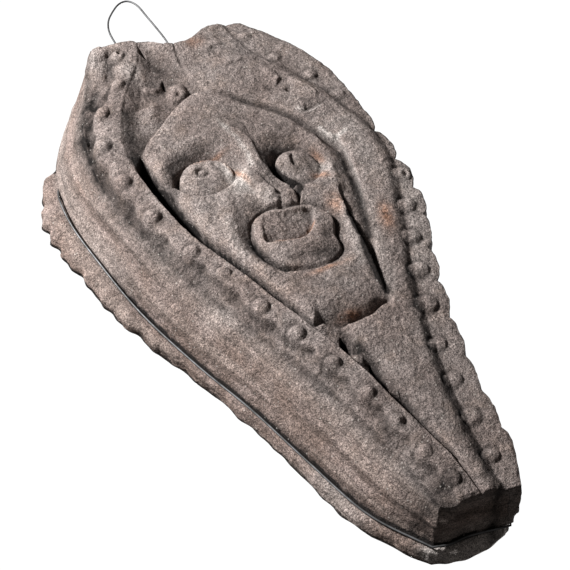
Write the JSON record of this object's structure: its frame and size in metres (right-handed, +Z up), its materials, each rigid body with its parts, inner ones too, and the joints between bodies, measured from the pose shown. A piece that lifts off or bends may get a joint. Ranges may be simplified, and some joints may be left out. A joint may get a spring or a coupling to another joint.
{
  "type": "green man relief",
  "caption": "Tapering block of coarse grey-brown stone carved with a leaf-framed mask inside a pearled border, with a thin steel wire round its side that ends in a hanging loop.",
  "frame": {"origin": "on the flat sawn back, in line with the middle of the carving", "axes": "+Z up the relief from its narrow end to its leafy top, +X to the viewer's right, +Y into the wall it hangs on, so the carving faces -Y"},
  "size_m": [0.2872, 0.0873, 0.6841],
  "materials": {
    "grey_brown_stone": "coarse, weathered, unpolished",
    "grey_steel_wire": "dull drawn wire"
  },
  "bodies": {
    "root": {"relief_stone": "grey_brown_stone", "hanging_wire": "grey_steel_wire"}
  },
  "joints": []
}
